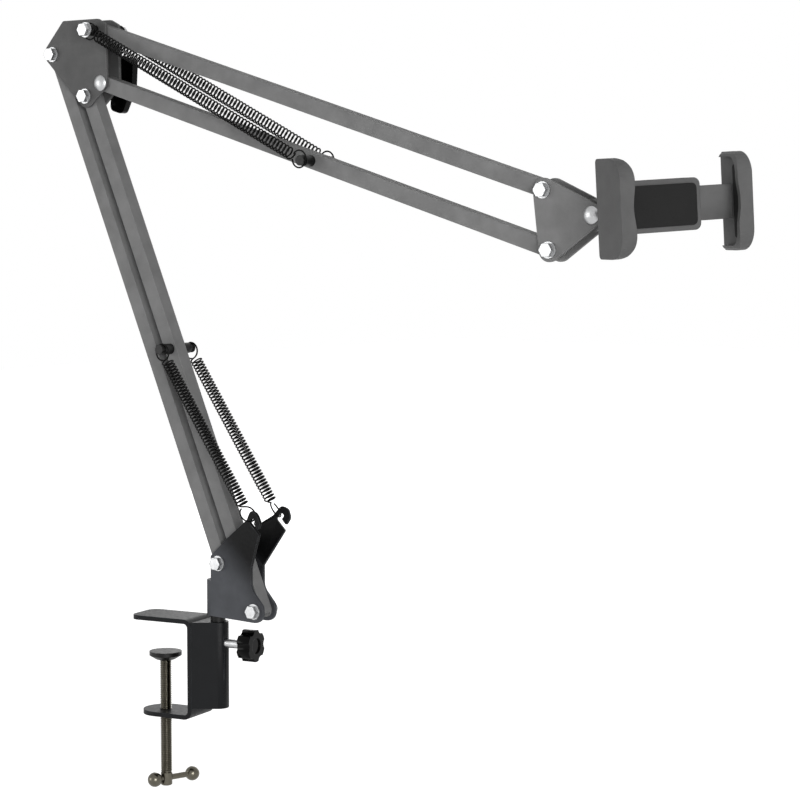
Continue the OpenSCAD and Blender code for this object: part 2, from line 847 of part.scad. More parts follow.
// Stem and ball turned as one piece
module ball_stem() {
    color(zinc) at_stem() rotate([0, 90, 0]) {
        translate([0, 0, block_r - 2 + e]) cylinder(d = neck_d, h = stem_len - block_r);
        translate([0, 0, block_front]) cylinder(d = stem_d, h = stem_len - block_front - head_ball_d);
        translate([0, 0, stem_len]) sphere(d = head_ball_d, $fn = 96);
    }
}

// Clip frame: X faces the phone's user, Y to the moving jaw, Z up, centred on the ball
module at_clip() {
    translate([ball[0], 0, ball[1]]) rotate([0, 0, clip_yaw]) rotate([clip_roll, 0, 0]) children();
}

lock_back = -lock_w / 2;
module lock_nut() {
    color(black) translate([ball[0], 0, ball[1]]) rotate([0, 0, clip_yaw]) rotate([0, 90, 0])
        translate([0, 0, lock_back]) difference() {
            cylinder(r = lock_r, h = lock_w, $fn = 96);
            translate([0, 0, -1]) cylinder(r = cup_r + fit, h = lock_w + 2, $fn = 96);
            for (i = [0 : 11]) rotate([0, 0, 30 * i]) translate([lock_r + 0.9, 0, -1])
                cylinder(r = 1.7, h = lock_w + 2, $fn = 24);
        }
}

// Levels of the clip's body, front to back
body_back = lock_w / 2 + 0.5;
body_front = body_back + body_depth;
body_left = -phone_w / 2;
split_x = body_front - 3;
tongue_x = split_x - tongue_t - 0.2;
jaw_front = jaw_back + jaw_depth;
slot_gap = 0.15;
slot_left = -33;
tongue_left = -9;

// Side view of a jaw: small corners at the back, large ones at the front
function jaw_side(shrink) = rounded([
    [[jaw_back + shrink, -jaw_h / 2 + shrink], max(2.5 - shrink, 0.6)],
    [[jaw_front - shrink, -jaw_h / 2 + shrink], 13 - shrink],
    [[jaw_front - shrink, jaw_h / 2 - shrink], 13 - shrink],
    [[jaw_back + shrink, jaw_h / 2 - shrink], max(2.5 - shrink, 0.6)]], 9);

// Reach of the lip at a height: two swells and a waist, falling away at both ends
function lip_at(z) =
    let (k = abs(2 * z / jaw_h), fall = k < 0.72 ? 1 : sqrt(max(0, 1 - pow((k - 0.72) / 0.28, 2))))
    (lip - lip_wave * cos(360 * z / (jaw_h * 0.52))) * (0.12 + 0.88 * fall);

// Front view of a jaw, from its outer wall at y = 0 inwards
function jaw_face() = concat(
    [[0, -jaw_h / 2], [0, jaw_h / 2]],
    [for (i = [0 : 40]) let (z = jaw_h / 2 - jaw_h * i / 40) [jaw_wall + lip_at(z), z]]);

// Extrudes along Y what is drawn on XZ
module along_y(y0, y1) {
    translate([0, y1, 0]) rotate([90, 0, 0]) linear_extrude(y1 - y0) children();
}

// Jaw with its outer wall on the -Y side: a wall, a rim and a waved front lip
module jaw_shell() {
    intersection() {
        difference() {
            along_y(0, jaw_wall + lip + 2) polygon(jaw_side(0));
            along_y(jaw_wall, jaw_wall + lip + 3) polygon(jaw_side(jaw_wall - 0.5));
            translate([jaw_back - 1, jaw_wall, -jaw_h]) cube([jaw_wall + 2, 20, 2 * jaw_h]);
        }
        translate([-1, 0, 0]) rotate([90, 0, 90]) linear_extrude(jaw_front + 2) polygon(jaw_face());
    }
}

// Fixed jaw, back half of the body and ball cup, moulded as one
module fixed_jaw() {
    color(soft) at_clip() difference() {
        union() {
            translate([0, -phone_w / 2 - jaw_wall, 0]) jaw_shell();
            body_block(body_back, split_x, 1);
            rotate([0, 90, 0]) translate([0, 0, cup_lip]) cylinder(r = cup_r, h = body_back - cup_lip + 1, $fn = 96);
        }
        sphere(d = head_ball_d + 2 * fit, $fn = 96);
        tongue_slot();
        screw_holes(1.25);
    }
}
cup_lip = -2.5;

// Rounded block of the clip's body between two levels, reaching into the fixed jaw's wall by root
module body_block(x0, x1, root = 0) {
    translate([x0, 0, 0]) rotate([90, 0, 90]) linear_extrude(x1 - x0) polygon(rounded([
        [[body_left - root, -body_h / 2], 0], [[body_right, -body_h / 2], 4],
        [[body_right, body_h / 2], 4], [[body_left - root, body_h / 2], 0]]));
}

// The tongue's way through the body, open at the body's right end
module tongue_slot() {
    translate([tongue_x - slot_gap, slot_left, -tongue_h / 2 - slot_gap])
        cube([tongue_t + 2 * slot_gap, body_right - slot_left + 10, tongue_h + 2 * slot_gap]);
}

cover_screw_at = [[-30, 11.9], [-30, -11.9], [11, 11.9], [11, -11.9]];
module screw_holes(r) {
    for (p = cover_screw_at) translate([body_back - 1, p[0], p[1]]) rotate([0, 90, 0])
        cylinder(r = r, h = body_depth - 1, $fn = 24);
}

// Front cover of the body
module clip_cover() {
    color(soft) at_clip() difference() {
        body_block(split_x, body_front);
        screw_holes(1.25);
    }
}

module cover_screws() {
    color(black) at_clip() for (p = cover_screw_at) translate([body_back - 0.6, p[0], p[1]]) rotate([0, 90, 0]) {
        cylinder(r = 2.2, h = 0.6, $fn = 24);
        cylinder(r = 1.25, h = body_depth - 2, $fn = 24);
    }
}

// Moving jaw with the flat tongue that slides in the body
module moving_jaw() {
    color(soft) at_clip() {
        translate([0, phone_w / 2 + jaw_wall, 0]) mirror([0, 1, 0]) jaw_shell();
        translate([tongue_x, tongue_left, -tongue_h / 2]) cube([tongue_t, phone_w / 2 + 1 - tongue_left, tongue_h]);
    }
}

// Soft pad on a jaw's inner wall
module jaw_pad() {
    along_y(jaw_wall, jaw_wall + pad_soft) polygon(rounded([
        [[body_front + 1, -jaw_h / 2 + 7], 2], [[jaw_front - 4, -jaw_h / 2 + 9], 4],
        [[jaw_front - 4, jaw_h / 2 - 9], 4], [[body_front + 1, jaw_h / 2 - 7], 2]]));
}

module fixed_jaw_pad() {
    color(black) at_clip() translate([0, -phone_w / 2 - jaw_wall, 0]) jaw_pad();
}

module moving_jaw_pad() {
    color(black) at_clip() translate([0, phone_w / 2 + jaw_wall, 0]) mirror([0, 1, 0]) jaw_pad();
}

// Soft pad that the phone's back lies on
module rest_pad() {
    color(black) at_clip() translate([body_front, 0, 0]) rotate([90, 0, 90]) linear_extrude(pad_soft)
        polygon(rounded([[[body_left + 3, -body_h / 2 + 3], 3], [[body_right - 3, -body_h / 2 + 3], 3],
            [[body_right - 3, body_h / 2 - 3], 3], [[body_left + 3, body_h / 2 - 3], 3]]));
}

clamp_frame();
post_socket();
clamp_screw();
tommy_bar();
pressure_pad();
socket_knob();
knob_stud();
base_bracket();
base_post();
base_bolts();
base_washers();
base_nuts();
lower_link_rear();
lower_link_front();
lower_spring_pin();
lower_spring_front();
lower_spring_back();
elbow_plate_front();
elbow_plate_back();
spring_bolt();
spring_bolt_sleeves();
spring_bolt_nut();
elbow_bolts();
elbow_washers();
elbow_nuts();
elbow_lock_bolt();
elbow_knob();
upper_link_top();
upper_link_bottom();
upper_spring_pin();
upper_spring_front();
upper_spring_back();
end_plate_front();
end_plate_back();
end_bolts();
end_washers();
end_nuts();
head_lock_bolt();
head_knob();
swivel_block();
ball_stem();
lock_nut();
fixed_jaw();
clip_cover();
cover_screws();
moving_jaw();
fixed_jaw_pad();
moving_jaw_pad();
rest_pad();
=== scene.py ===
"""Overhead phone stand: clamp, arm of two spring-balanced parallelograms, sprung clip on a ball joint.

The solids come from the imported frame. This script gives each of them a painted, plated or moulded
finish, and rolls the edges of the clamp, the base bracket, the knobs, the lock nut and the clip's
mouldings. It works out what is too fine for the solids: the four wound springs, the clamp's screw with
its thread, and the heads of the clip's cover screws. Sizes are in millimetres and degrees, in the frame
of the solids: +X along the arm's reach, +Y along its pivots, +Z up, with the origin under the clamp's
top jaw. Blender is given metres.
"""
import math
import bpy
import numpy as np
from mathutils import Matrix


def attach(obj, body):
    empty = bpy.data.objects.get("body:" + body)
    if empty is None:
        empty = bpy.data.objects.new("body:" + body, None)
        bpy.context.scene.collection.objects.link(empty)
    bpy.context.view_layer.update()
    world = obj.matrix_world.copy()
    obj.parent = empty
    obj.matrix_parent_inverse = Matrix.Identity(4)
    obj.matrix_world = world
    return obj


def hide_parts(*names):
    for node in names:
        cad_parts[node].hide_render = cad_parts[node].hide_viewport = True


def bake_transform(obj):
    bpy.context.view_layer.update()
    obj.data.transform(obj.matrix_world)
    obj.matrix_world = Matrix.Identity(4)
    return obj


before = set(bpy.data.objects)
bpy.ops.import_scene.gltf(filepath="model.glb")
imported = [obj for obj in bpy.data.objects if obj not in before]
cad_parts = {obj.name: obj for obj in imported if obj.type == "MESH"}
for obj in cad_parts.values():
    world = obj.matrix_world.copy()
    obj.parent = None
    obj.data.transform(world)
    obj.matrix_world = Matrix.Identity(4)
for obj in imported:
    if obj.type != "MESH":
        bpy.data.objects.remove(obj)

for start_up in ("Cube", "Light", "Camera"):
    if start_up in bpy.data.objects:
        bpy.data.objects.remove(bpy.data.objects[start_up])
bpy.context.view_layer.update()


def polar(r, degrees):
    """The vector of length r at an angle from the first axis: (r cos a, r sin a)."""
    return r * np.array([math.cos(math.radians(degrees)), math.sin(math.radians(degrees))])


def in_plane(p, y=0.0):
    """The point (x, z) of the arm's plane, moved along the pivots to y."""
    return np.array([p[0], y, p[1]])


# Sizes shared with the solids

MM = 0.001                           # a millimetre in metres
FIT = 0.05                           # play between a pin and its hole

# Clamp, in its own frame, which is turned about the post and has its screw on the -X side
POST_X = 38.0
CLAMP_TURN = 9.0
SOCKET_OUT, CLAMP_T, SCREW_OUT = 12.5, 3.0, 26.5
SCREW_X = -SOCKET_OUT - CLAMP_T - SCREW_OUT

# Clamp screw, with its tip in the pressure pad and its plain foot at the low end
PAD_DROP, PAD_T = 22.5, 5.5          # the pad's face below the top jaw, and its thickness
NOSE_SHARE = 0.55                    # of the pad's thickness that the screw's nose fills
SCREW_NOSE = NOSE_SHARE * PAD_T
SCREW_LEN, SCREW_R = 90.0, 4.0
SCREW_TIP = -PAD_DROP - PAD_T + SCREW_NOSE - FIT
SCREW_END = SCREW_TIP - SCREW_LEN
THREAD_PITCH, THREAD_DEPTH = 1.25, 0.62

# Arm: pivots, as x and z, named as in the solids
BASE_RUN, BASE_RISE = 37.5, 12.3
LOWER_LEN, LOWER_ANGLE, LOWER_PIN_AT = 372.5, 113.4, 186.2
ELBOW_STEP, ELBOW_ANGLE = 16.2, 31.4
UPPER_CRANK, UPPER_CRANK_ANGLE = 35.8, -83.1
UPPER_LEN, UPPER_ANGLE, UPPER_PIN_AT = 379.0, -17.0, 189.5
HEAD_STEP, HEAD_ANGLE = 35.7, 35.3
R2 = np.array([POST_X + BASE_RUN, BASE_RISE])             # lower section's front pivot on the base
P4 = R2 + polar(LOWER_LEN, LOWER_ANGLE)                   # and on the elbow
P3 = P4 + polar(ELBOW_STEP, ELBOW_ANGLE)                  # upper section's bottom pivot on the elbow
P1 = P3 - polar(UPPER_CRANK, UPPER_CRANK_ANGLE)           # its top pivot there, the springs' long bolt
Q2 = P3 + polar(UPPER_LEN, UPPER_ANGLE)                   # its bottom pivot on the end plates
Q3 = Q2 + polar(HEAD_STEP, HEAD_ANGLE)                    # the head's pivot
LOWER_PIN = R2 + polar(LOWER_PIN_AT, LOWER_ANGLE)         # the springs' cross pins
UPPER_PIN = P3 + polar(UPPER_PIN_AT, UPPER_ANGLE)

# Springs: radii of wire, coil and end rings, and of the grooves that the rings sit in
WIRE_R, SPRING_R, RING_R, GROOVE_R = 0.55, 4.2, 5.5, 2.5
COIL_R = SPRING_R - WIRE_R
SPRING_OUT = 14.4                    # from the arm's plane to the springs' axes
LOWER_TURNS, UPPER_TURNS = 48, 62
RING_OPEN, RING_SWEEP = 27, 318      # where an end ring starts, and how far round it goes

# Hook ears of the base bracket: the line that they are folded on, and the hooked ring's centre
EAR_FOOT, EAR_HEAD = R2 + [-2.6, 28.9], R2 + [-23.0, 47.0]
EAR_ALONG = (EAR_HEAD - EAR_FOOT) / np.linalg.norm(EAR_HEAD - EAR_FOOT)
EAR_OUT = np.array([EAR_ALONG[1], -EAR_ALONG[0]])
EAR_TILT = 15.2
EAR_SLOT_END, RING_SLACK = 17.1, 0.45
SEAT_ALONG, SEAT_OUT = EAR_SLOT_END - WIRE_R - RING_SLACK + RING_R, 30.9
HOOK = EAR_FOOT + EAR_ALONG * SEAT_ALONG + EAR_OUT * SEAT_OUT * math.cos(math.radians(EAR_TILT))
HOOK_ROLL, PIN_ROLL = -18.0, 90.0    # how the end rings are turned, on an ear and in a groove

# Clip, in its own frame: origin in the ball, +X out of its open side, +Y to the moving jaw
BALL_RUN, BALL_RISE = 42.5, 5.7
BALL = in_plane(Q3 + [BALL_RUN, BALL_RISE])
CLIP_YAW, CLIP_ROLL = -31.0, 3.5
LOCK_W, LOCK_GAP = 8.0, 0.5          # the lock nut's width, and its gap to the clip's body
CLIP_BACK = LOCK_W / 2 + LOCK_GAP
COVER_SCREW_Y, COVER_SCREW_Z = (-30.0, 11.0), (-11.9, 11.9)
COVER_HEAD_R = 2.2


# Finishes

class Finish:
    """A material built from a few named nodes, all in the piece's own coordinates."""

    def __init__(self, name):
        self.mat = bpy.data.materials.new(name)
        self.mat.use_nodes = True
        self.tree = self.mat.node_tree
        self.tree.nodes.clear()
        self.out = self.node("ShaderNodeOutputMaterial")
        self.skin = self.node("ShaderNodeBsdfPrincipled")
        self.link(self.skin.outputs["BSDF"], self.out.inputs["Surface"])
        self.where = self.node("ShaderNodeTexCoord").outputs["Object"]

    def node(self, kind, **settings):
        """A new node of that kind, with its settings."""
        n = self.tree.nodes.new(kind)
        for key, value in settings.items():
            setattr(n, key, value)
        return n

    def link(self, a, b):
        """Joins an output to an input."""
        self.tree.links.new(a, b)

    def noise(self, scale, detail, rough=0.55, stretch=(1, 1, 1)):
        """Soft random value from 0 to 1, with features of about 1/scale metres."""
        place = self.node("ShaderNodeMapping")
        place.inputs["Scale"].default_value = stretch
        self.link(self.where, place.inputs["Vector"])
        n = self.node("ShaderNodeTexNoise")
        n.inputs["Scale"].default_value = scale
        n.inputs["Detail"].default_value = detail
        n.inputs["Roughness"].default_value = rough
        self.link(place.outputs["Vector"], n.inputs["Vector"])
        return n.outputs["Fac"]

    def span(self, value, low, high, start=0.3, stop=0.7):
        """Stretches a value from start..stop to low..high."""
        m = self.node("ShaderNodeMapRange")
        for key, v in (("From Min", start), ("From Max", stop), ("To Min", low), ("To Max", high)):
            m.inputs[key].default_value = v
        self.link(value, m.inputs["Value"])
        return m.outputs["Result"]

    def mix(self, share, a, b):
        """Colour that goes from a to b with the share, where each is a colour or a linked one."""
        m = self.node("ShaderNodeMix", data_type="RGBA")
        factor, first, second = m.inputs[0], m.inputs[6], m.inputs[7]
        for socket, v in ((first, a), (second, b)):
            if isinstance(v, tuple):
                socket.default_value = (*v, 1.0)
            else:
                self.link(v, socket)
        self.link(share, factor)
        return m.outputs[2]

    def rounded(self, radius, samples=6):
        """Shading normal that turns round each edge, as on a fillet of that radius in metres."""
        bevel = self.node("ShaderNodeBevel", samples=samples)
        bevel.inputs["Radius"].default_value = radius
        return bevel.outputs["Normal"]

    def edge(self, normal, sharp=0.72, flat=0.985):
        """Value from 0 off an edge to 1 on it, as the dot product of rounded and true normal drops."""
        true = self.node("ShaderNodeNewGeometry").outputs["Normal"]
        dot = self.node("ShaderNodeVectorMath", operation="DOT_PRODUCT")
        self.link(normal, dot.inputs[0])
        self.link(true, dot.inputs[1])
        return self.span(dot.outputs["Value"], 1.0, 0.0, sharp, flat)

    def beyond(self, origin, direction, start, stop):
        """Smooth step from 0 to 1 between two distances past the origin along a direction, all in mm."""
        per_mm = np.array(direction, float) / np.linalg.norm(direction) / MM
        dot = self.node("ShaderNodeVectorMath", operation="DOT_PRODUCT")
        self.link(self.where, dot.inputs[0])
        dot.inputs[1].default_value = tuple(per_mm)
        zero = float(np.dot(per_mm, origin) * MM)
        m = self.node("ShaderNodeMapRange", interpolation_type="SMOOTHSTEP")
        m.inputs["From Min"].default_value = zero + start
        m.inputs["From Max"].default_value = zero + stop
        self.link(dot.outputs["Value"], m.inputs["Value"])
        return m.outputs["Result"]

    def relief(self, height, distance, normal):
        """Normal of a bump whose real height is the distance in metres, on top of a rounded normal."""
        b = self.node("ShaderNodeBump")
        b.inputs["Distance"].default_value = distance
        self.link(height, b.inputs["Height"])
        self.link(normal, b.inputs["Normal"])
        return b.outputs["Normal"]


PLAIN, COOL, INKY = (1.0, 1.0, 1.0), (0.94, 0.98, 1.08), (0.9, 0.98, 1.12)
DISPLAY_GAMMA = 2.2

# Noises, each as its features in a metre and its detail
COAT_MOTTLE, COAT_WEAR_AND_HIGHLIGHT, COAT_HAZE, COAT_PEEL = (70, 4), (160, 5), (420, 2), (2600, 3)
METAL_CLOUDS, METAL_HAZE, METAL_SCRATCHES = (300, 4), (900, 3), (1800, 4)
PLASTIC_FLOW, PLASTIC_HAZE, PLASTIC_GRAIN = (55, 3), (1500, 2), (4200, 3)


def grey(level, tint=PLAIN):
    """Linear colour of a display grey from 0 to 255, times a tint."""
    v = (level / 255.0) ** DISPLAY_GAMMA
    return tuple(v * t for t in tint)


def scaled(colour, factor):
    """The colour times a factor."""
    return tuple(c * factor for c in colour)


def coated(name, level, rough, peel, worn_and_highlit, tint=PLAIN, radius=0.0005, shine=0.2, mottle=0.12,
           painted_shade_level=None, past=None):
    """Powder coat or enamel: an orange peel of that height, a faint mottle round the grey level, and edges
    that are lighter, up to the worn_and_highlit level: partly abrasion of the coat and partly a painted
    highlight. Past the step that beyond() makes, if past is given, a painted shade takes the colour to the
    painted_shade_level."""
    f = Finish(name)
    normal = f.rounded(radius)
    base = grey(level, tint)
    colour = f.mix(f.span(f.noise(*COAT_MOTTLE), 0, 1), scaled(base, 1 - mottle), scaled(base, 1 + mottle))
    # Painted shade: beyond the step the colour goes over to a darker level
    if past:
        colour = f.mix(f.beyond(*past), colour, grey(painted_shade_level, tint))
    # Lighter edges: partly abrasion of the coat and partly a painted highlight, broken up by a noise
    wear_and_highlight = f.node("ShaderNodeMath", operation="MULTIPLY")
    f.link(f.edge(normal), wear_and_highlight.inputs[0])
    f.link(f.span(f.noise(*COAT_WEAR_AND_HIGHLIGHT), 0.25, 0.9), wear_and_highlight.inputs[1])
    f.link(f.mix(wear_and_highlight.outputs[0], colour, grey(worn_and_highlit, tint)), f.skin.inputs["Base Color"])
    f.link(f.span(f.noise(*COAT_HAZE), rough - 0.05, rough + 0.06), f.skin.inputs["Roughness"])
    f.link(f.relief(f.noise(*COAT_PEEL), peel, normal), f.skin.inputs["Normal"])
    f.skin.inputs["Specular IOR Level"].default_value = shine
    return f.mat


def plated(name, colour, rough, radius=0.0004, scratch=0.000012, stretch=(1, 1, 1), dull=0.82, painted_edge_shade=0.5):
    """Zinc or nickel plate: metal that is cloudy, down to the share called dull, with fine turned
    scratches, and a painted shade that darkens the edges by the share called painted_edge_shade."""
    f = Finish(name)
    normal = f.rounded(radius)
    cloudy_metal = f.mix(f.span(f.noise(*METAL_CLOUDS), 0, 1), scaled(colour, dull), colour)
    # Painted shade: the edges are darkened by that share
    f.link(f.mix(f.edge(normal), cloudy_metal, scaled(colour, 1 - painted_edge_shade)), f.skin.inputs["Base Color"])
    f.skin.inputs["Metallic"].default_value = 1.0
    f.link(f.span(f.noise(*METAL_HAZE), rough * 0.75, rough * 1.3), f.skin.inputs["Roughness"])
    f.link(f.relief(f.noise(*METAL_SCRATCHES, stretch=stretch), scratch, normal), f.skin.inputs["Normal"])
    return f.mat


def moulded(name, level, rough, grain, tint=PLAIN, radius=0.0006, spread=0.1, shine=0.2):
    """Moulded plastic or rubber: an almost even grey with a fine spark-eroded grain of that height."""
    f = Finish(name)
    base = grey(level, tint)
    colour = f.mix(f.span(f.noise(*PLASTIC_FLOW), 0, 1), scaled(base, 1 - spread), scaled(base, 1 + spread))
    f.link(colour, f.skin.inputs["Base Color"])
    f.link(f.span(f.noise(*PLASTIC_HAZE), rough - 0.04, rough + 0.05), f.skin.inputs["Roughness"])
    f.link(f.relief(f.noise(*PLASTIC_GRAIN), grain, f.rounded(radius)), f.skin.inputs["Normal"])
    f.skin.inputs["Specular IOR Level"].default_value = shine
    return f.mat


# Painted shade: the bracket's coat is painted darker towards its hook ears, from 24 mm before their fold
# line to 6 mm past it
EAR_PAINTED_SHADE = in_plane(EAR_FOOT), in_plane(EAR_OUT), -24, 6

tube_paint = coated("tube_paint", 122, rough=0.55, peel=0.00002, worn_and_highlit=165, shine=0.06)
plate_paint = coated("plate_paint", 90, rough=0.55, peel=0.00002, worn_and_highlit=150, shine=0.12)
end_paint = coated("end_paint", 120, rough=0.55, peel=0.00002, worn_and_highlit=165, shine=0.12)
bracket_paint = coated("bracket_paint", 82, rough=0.5, peel=0.00002, worn_and_highlit=110, tint=COOL, shine=0.1,
                       painted_shade_level=14, past=EAR_PAINTED_SHADE)
clamp_enamel = coated("clamp_enamel", 26, rough=0.42, peel=0.000012, worn_and_highlit=70, tint=INKY, radius=0.0007,
                      shine=0.12)
pin_black = coated("pin_black", 22, rough=0.4, peel=0.00001, worn_and_highlit=70)
bright_zinc = plated("bright_zinc", (0.5, 0.505, 0.51), rough=0.36, radius=0.0006, painted_edge_shade=0.85)
dark_nickel = plated("dark_nickel", (0.12, 0.112, 0.09), rough=0.2, stretch=(1, 1, 6), painted_edge_shade=0.3)
spring_black = coated("spring_black", 10, rough=0.4, peel=0.000004, worn_and_highlit=36, radius=0.0001, shine=0.1)
gloss_plastic = moulded("gloss_plastic", 8, rough=0.18, grain=0.000006, shine=0.08)
clip_plastic = moulded("clip_plastic", 94, rough=0.5, grain=0.00003, shine=0.14)
soft_rubber = moulded("soft_rubber", 34, rough=0.75, grain=0.00005)

DRESS = {
    tube_paint: ["lower_link_rear", "lower_link_front", "upper_link_top", "upper_link_bottom"],
    plate_paint: ["elbow_plate_front", "elbow_plate_back"],
    end_paint: ["end_plate_front", "end_plate_back", "swivel_block"],
    bracket_paint: ["base_bracket"],
    clamp_enamel: ["clamp_frame", "post_socket"],
    pin_black: ["lower_spring_pin", "upper_spring_pin", "spring_bolt_sleeves", "pressure_pad", "base_post"],
    bright_zinc: ["base_bolts", "base_washers", "base_nuts", "spring_bolt", "spring_bolt_nut", "elbow_bolts",
                  "elbow_washers", "elbow_nuts", "elbow_lock_bolt", "end_bolts", "end_washers", "end_nuts",
                  "head_lock_bolt", "ball_stem", "knob_stud"],
    dark_nickel: ["clamp_screw", "tommy_bar"],
    spring_black: ["lower_spring_front", "lower_spring_back", "upper_spring_front", "upper_spring_back",
                   "cover_screws"],
    gloss_plastic: ["socket_knob", "elbow_knob", "head_knob", "lock_nut"],
    clip_plastic: ["fixed_jaw", "clip_cover", "moving_jaw"],
    soft_rubber: ["fixed_jaw_pad", "moving_jaw_pad", "rest_pad"],
}
for finish, names in DRESS.items():
    for name in names:
        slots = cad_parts[name].data.materials
        slots.clear()
        slots.append(finish)


def soften(width, names, segments=2, angle=35, weld=0.000002):
    """Rolls the CAD nodes' edges that are sharper than the angle, with a live bevel of that width in mm."""
    for name in names:
        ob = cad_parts[name]
        ob.modifiers.new("join_corners", "WELD").merge_threshold = weld
        roll = ob.modifiers.new("rolled_edges", "BEVEL")
        roll.width = width * MM
        roll.segments = segments
        roll.limit_method = "ANGLE"
        roll.angle_limit = math.radians(angle)
        roll.harden_normals = True
        roll.use_clamp_overlap = True


soften(0.3, DRESS[bracket_paint])
soften(0.5, DRESS[clamp_enamel])
soften(0.6, DRESS[gloss_plastic])
soften(0.5, DRESS[clip_plastic])


# Surfaces

def round_angles(sides):
    """That many even steps of one full turn, in radians."""
    return np.linspace(0, 2 * np.pi, sides, endpoint=False)


def ringed_piece(name, points, material):
    """A closed skin from an array of points[ring, place on it, 3] in metres: neighbours share a quad, each
    ring's last point joins its first, and a flat face closes the first ring and one the last."""
    rings, around = points.shape[:2]
    index = np.arange(rings * around).reshape(rings, around)
    cells = np.concatenate([index, index[:, :1]], axis=1)
    corners = cells[:-1, :-1], cells[1:, :-1], cells[1:, 1:], cells[:-1, 1:]
    quads = np.stack(corners, axis=-1).reshape(-1, 4)
    ends = [index[0].tolist(), index[-1, ::-1].tolist()]
    mesh = bpy.data.meshes.new(name)
    mesh.from_pydata(points.reshape(-1, 3).tolist(), [], quads.tolist() + ends)
    mesh.update()
    smooth = [True] * len(quads) + [False] * len(ends)
    mesh.polygons.foreach_set("use_smooth", smooth)
    mesh.materials.append(material)
    piece = bpy.data.objects.new(name, mesh)
    bpy.context.collection.objects.link(piece)
    return piece


def sweep(path, guide, radius, sides):
    """Round wire along a path: at each point a circle lies across the tangent. Its first direction is the
    guide vector of that point, made square to the tangent."""
    step = np.gradient(path, axis=0)
    tangent = step / np.linalg.norm(step, axis=1, keepdims=True)
    first = guide - tangent * np.sum(guide * tangent, axis=1, keepdims=True)
    first /= np.linalg.norm(first, axis=1, keepdims=True)
    other = np.cross(tangent, first)
    a = round_angles(sides)[None, :, None]
    return path[:, None] + radius * (np.cos(a) * first[:, None] + np.sin(a) * other[:, None])


# Springs

def end_ring(x, side, roll, points=44):
    """Open ring about (x, 0, 0): x + side R cos a along the spring and side R sin a across it, in the
    plane that the roll turns about the spring's axis."""
    a = np.radians(np.linspace(RING_OPEN, RING_OPEN + RING_SWEEP, points))
    across = side * RING_R * np.sin(a)
    return np.stack([x + side * RING_R * np.cos(a), across * math.cos(roll), across * math.sin(roll)], 1)


def bent_leg(before, after, points=7):
    """Cubic from the last point of one stretch to the first of the next, which leaves and arrives along
    them: each point is p, q and their tangents, weighed by the four Hermite polynomials of s."""
    s = np.linspace(0, 1, points + 2)[1:-1, None]
    p, q = before[-1], after[0]
    leaving, arriving = before[-1] - before[-2], after[1] - after[0]
    size = np.linalg.norm(q - p)
    leaving, arriving = leaving / np.linalg.norm(leaving) * size, arriving / np.linalg.norm(arriving) * size
    return ((2 * s**3 - 3 * s**2 + 1) * p + (s**3 - 2 * s**2 + s) * leaving
            + (3 * s**2 - 2 * s**3) * q + (s**3 - s**2) * arriving)


def spring_path(start, end, turns, roll_a, roll_b, per_turn=22, leg_run=1.6):
    """Centre line of a tension spring between two ring centres, and a guide vector for its sweep.

    In the spring's own frame the coil is (x, c cos a, c sin a), with x and a rising together, and a short
    leg joins it to the ring at each end. The guide is the ring's normal on a ring and the axis on the
    coil, mixed evenly along the legs.
    """
    along = end - start
    length = np.linalg.norm(along)
    d = along / length
    heading = math.atan2(d[1], d[0])
    across = np.array([-math.sin(heading), math.cos(heading), 0.0])
    basis = np.stack([d, across, np.cross(d, across)])

    clear = RING_R + leg_run
    t = np.linspace(0, 1, turns * per_turn + 1)
    a = 2 * np.pi * turns * t
    coil = np.stack([clear + (length - 2 * clear) * t, COIL_R * np.cos(a), COIL_R * np.sin(a)], 1)
    first, last = end_ring(0.0, 1, roll_a), end_ring(length, -1, roll_b)[::-1]
    leg_a, leg_b = bent_leg(first, coil), bent_leg(coil, last)
    own = np.concatenate([first, leg_a, coil, leg_b, last])

    axis = np.array([1.0, 0, 0])
    normal_a, normal_b = (np.array([0, -math.sin(roll), math.cos(roll)]) for roll in (roll_a, roll_b))
    place = np.arange(len(own))
    off_a = np.clip((place - len(first)) / len(leg_a), 0, 1)[:, None]
    off_b = np.clip((place[::-1] - len(last)) / len(leg_b), 0, 1)[:, None]
    guide_a = (1 - off_a) * normal_a + off_a * axis
    guide_b = (1 - off_b) * normal_b + off_b * axis
    return start + own @ basis, np.where(off_a < 1, guide_a, guide_b) @ basis


def wound_spring(name, node, start, end, turns, rolls, sides=8):
    """Round wire swept along a spring's centre line, in place of the solid spring."""
    roll_a, roll_b = (math.radians(roll) for roll in rolls)
    wire = sweep(*spring_path(start, end, turns, roll_a, roll_b), WIRE_R, sides) * MM
    piece = ringed_piece(name, wire, spring_black)
    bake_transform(piece)
    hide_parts(node)


def pulled(seat, far):
    """Centre of an end ring that is pulled from its groove at the seat towards the spring's far end."""
    return seat + (far - seat) / np.linalg.norm(far - seat) * (RING_R - WIRE_R - GROOVE_R - FIT)


for side, word, roll in ((-1, "front", HOOK_ROLL), (1, "back", 180 - HOOK_ROLL)):
    y = side * SPRING_OUT
    wound_spring(f"lower_coil_{word}", f"lower_spring_{word}", in_plane(HOOK, y),
                 in_plane(pulled(LOWER_PIN, HOOK), y), LOWER_TURNS, (roll, PIN_ROLL))
    wound_spring(f"upper_coil_{word}", f"upper_spring_{word}", in_plane(pulled(P1, UPPER_PIN), y),
                 in_plane(pulled(UPPER_PIN, P1), y), UPPER_TURNS, (PIN_ROLL, PIN_ROLL))


# Clamp screw

def in_clamp(points):
    """From the clamp's frame, turned about the post, to the frame of the solids, in metres."""
    a = math.radians(CLAMP_TURN)
    turn = np.array([[math.cos(a), -math.sin(a), 0], [math.sin(a), math.cos(a), 0], [0, 0, 1.0]])
    return (points @ turn.T + [POST_X, 0, 0]) * MM


def turned(profile, from_z, sides):
    """Rings about the screw's axis, one for each pair of a height over from_z and a radius."""
    height, radius = np.array(profile).T[:, :, None]
    a = round_angles(sides)[None, :]
    return np.stack([SCREW_X + radius * np.cos(a), radius * np.sin(a), from_z + height + 0 * a], -1)


